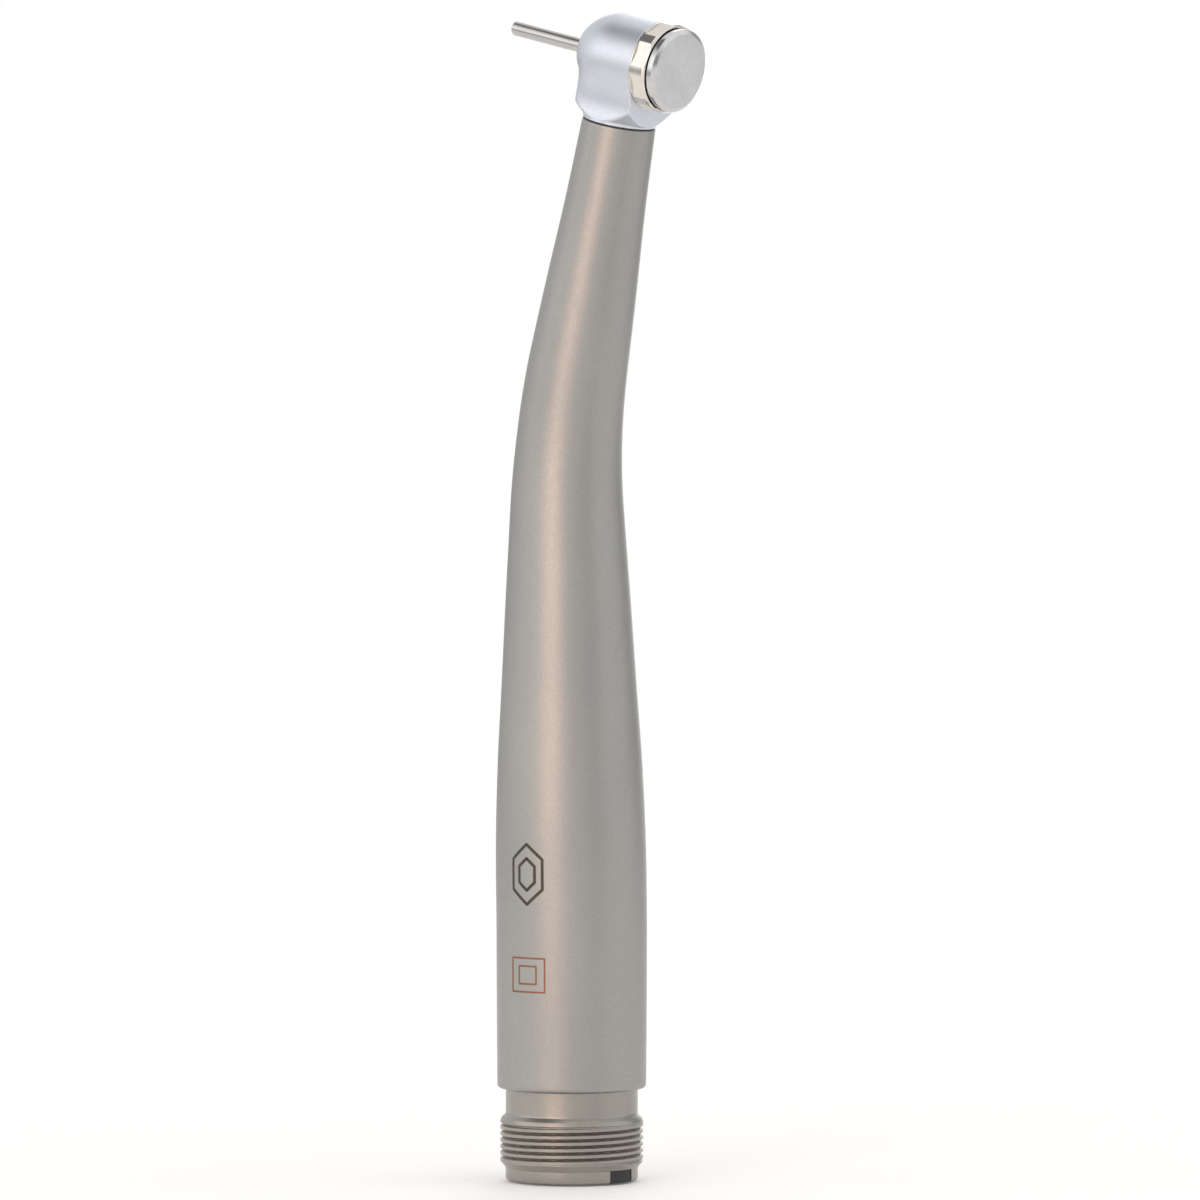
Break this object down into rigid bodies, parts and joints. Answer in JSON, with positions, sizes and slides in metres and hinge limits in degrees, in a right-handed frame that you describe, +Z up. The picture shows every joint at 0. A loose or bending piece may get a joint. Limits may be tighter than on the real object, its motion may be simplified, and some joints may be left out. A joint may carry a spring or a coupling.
{
  "type": "dental high speed handpiece",
  "caption": "Push-button dental air-turbine handpiece with satin bent sheath, threaded four-port rear connector, round head, ball-bearing rotor, sprung chuck and plain test bar",
  "frame": {"origin": "centre of the connector's rear end, where the hose coupling seats on the gasket", "axes": "+Z up the handle towards the head; the neck bends towards +X, the push button faces +X and the test bar points to -X"},
  "size_m": [0.0238, 0.016, 0.1243],
  "materials": {
    "satin_sheath": "bead-blasted satin, fine grain",
    "satin_connector": "fine matt turned and blasted",
    "satin_head": "pearl satin, cool tint",
    "polished_nickel": "polished nickel with milled flats",
    "brushed_button": "satin with fine circular brushing",
    "bar_steel": "ground and polished",
    "turned_steel": "fine turned",
    "tube_steel": "drawn tube",
    "spring_steel": "bright wire",
    "bearing_steel": "ground and lapped",
    "ceramic_ball": "polished silicon nitride",
    "cage_polymer": "phenolic",
    "impeller_alloy": "milled",
    "black_rubber": "matt black"
  },
  "bodies": {
    "housing": {"sheath": "satin_sheath", "rear_connector": "satin_connector", "rear_gasket": "black_rubber", "port_block": "turned_steel", "port_block_nut": "turned_steel", "sheath_o_ring": "black_rubber", "drive_air_tube": "tube_steel", "water_tube": "tube_steel", "chip_air_tube": "tube_steel", "neck_seal": "black_rubber", "head_shell": "satin_head", "cap_ring": "polished_nickel", "button_spring": "spring_steel", "preload_washer": "spring_steel", "front_bearing_shield": "spring_steel", "rear_bearing_shield": "spring_steel", "front_bearing_o_ring": "black_rubber", "front_bearing_outer_race": "bearing_steel", "rear_bearing_o_ring": "black_rubber", "rear_bearing_outer_race": "bearing_steel"},
    "rotor": {"spindle": "turned_steel", "impeller": "impeller_alloy", "chuck_collet": "turned_steel", "chuck_spring": "spring_steel", "front_bearing_inner_race": "bearing_steel", "rear_bearing_inner_race": "bearing_steel"},
    "front_ball_set": {"front_bearing_balls": "ceramic_ball", "front_bearing_cage": "cage_polymer"},
    "rear_ball_set": {"rear_bearing_balls": "ceramic_ball", "rear_bearing_cage": "cage_polymer"},
    "button": {"push_button": "brushed_button", "button_clip": "spring_steel"},
    "pusher": {"chuck_pusher": "turned_steel"},
    "bar": {"test_bar": "bar_steel"}
  },
  "joints": [
    {"name": "turbine_spin", "type": "hinge", "parent": "housing", "child": "rotor", "pos_m": [0.00788, 0, 0.11948], "axis": [-0.9813, 0, 0.1925], "continuous": true},
    {"name": "front_balls_orbit", "type": "hinge", "parent": "housing", "child": "front_ball_set", "pos_m": [0.00788, 0, 0.11948], "axis": [-0.9813, 0, 0.1925], "continuous": true},
    {"name": "rear_balls_orbit", "type": "hinge", "parent": "housing", "child": "rear_ball_set", "pos_m": [0.00788, 0, 0.11948], "axis": [-0.9813, 0, 0.1925], "continuous": true},
    {"name": "button_press", "type": "slide", "parent": "housing", "child": "button", "axis": [-0.9813, 0, 0.1925], "range_m": [0, 0.0005], "stiffness_N_per_m": 2000, "springref_m": -0.0005, "deforming": ["button_spring"]},
    {"name": "chuck_release", "type": "slide", "parent": "rotor", "child": "pusher", "axis": [-0.9813, 0, 0.1925], "range_m": [0, 0.0002], "deforming": ["chuck_spring"]},
    {"name": "bar_pull", "type": "slide", "parent": "rotor", "child": "bar", "axis": [-0.9813, 0, 0.1925], "range_m": [0, 0.0115]}
  ],
  "couplings": [
    {"joint": "front_balls_orbit", "follows": "turbine_spin", "ratio": 0.39501},
    {"joint": "rear_balls_orbit", "follows": "turbine_spin", "ratio": 0.39501},
    {"joint": "chuck_release", "follows": "button_press", "ratio": 0.4}
  ]
}
